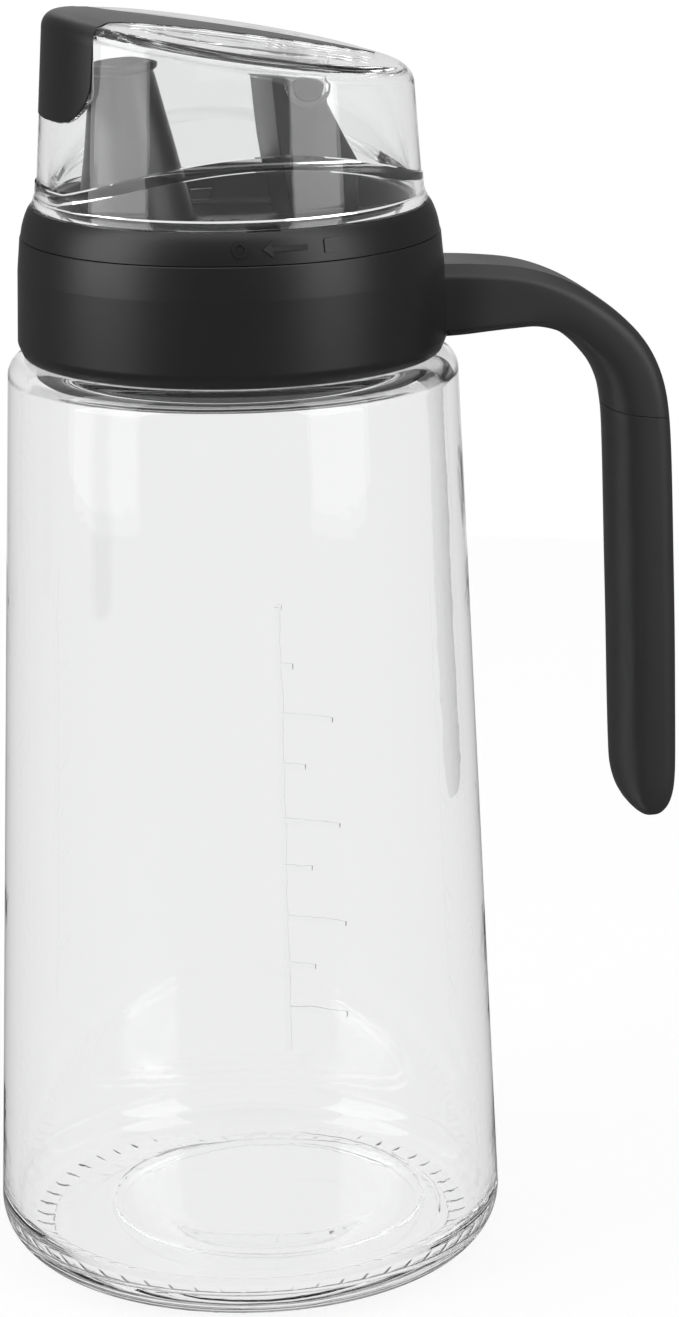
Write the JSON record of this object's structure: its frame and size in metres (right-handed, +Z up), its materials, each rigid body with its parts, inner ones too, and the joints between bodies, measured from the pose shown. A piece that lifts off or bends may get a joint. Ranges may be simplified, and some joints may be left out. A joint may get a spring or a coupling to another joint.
{
  "type": "oil dispenser bottle",
  "caption": "Clear glass oil bottle with a black collar and hook handle, and a black pouring lid whose clear flip cover tips back on a hinge to bare the spout.",
  "frame": {"origin": "on the table, under the middle of the box round the whole object; the bottle's axis stands 17.25 mm from it towards the spout", "axes": "+X from the spout to the handle, +Y along the cover's hinge, +Z up"},
  "size_m": [0.1302, 0.0952, 0.234],
  "materials": {
    "clear_glass": "polished, colourless",
    "clear_plastic": "polished, clear",
    "black_plastic": "satin black",
    "grey_silicone": "soft, matt"
  },
  "bodies": {
    "bottle": {"glass_bottle": "clear_glass", "handle_collar": "black_plastic", "handle_grip": "black_plastic"},
    "seal": {"neck_seal": "grey_silicone"},
    "lid": {"lid_base": "black_plastic", "clear_skirt": "clear_plastic"},
    "cover": {"flip_cover": "clear_plastic", "cover_beak": "black_plastic"}
  },
  "joints": [
    {"name": "lid_lift", "type": "slide", "parent": "bottle", "child": "seal", "axis": [0, 0, 1], "range_m": [0, 0.003]},
    {"name": "lid_turn", "type": "hinge", "parent": "seal", "child": "lid", "pos_m": [-0.01725, 0, 0.1938], "axis": [0, 0, 1], "range_deg": [0, 90]},
    {"name": "cover_flip", "type": "hinge", "parent": "lid", "child": "cover", "pos_m": [-0.00525, 0, 0.221], "axis": [0, 1, 0], "range_deg": [0, 25]}
  ],
  "couplings": [
    {"joint": "lid_lift", "follows": "lid_turn", "m_per_rad": 0.0019}
  ]
}
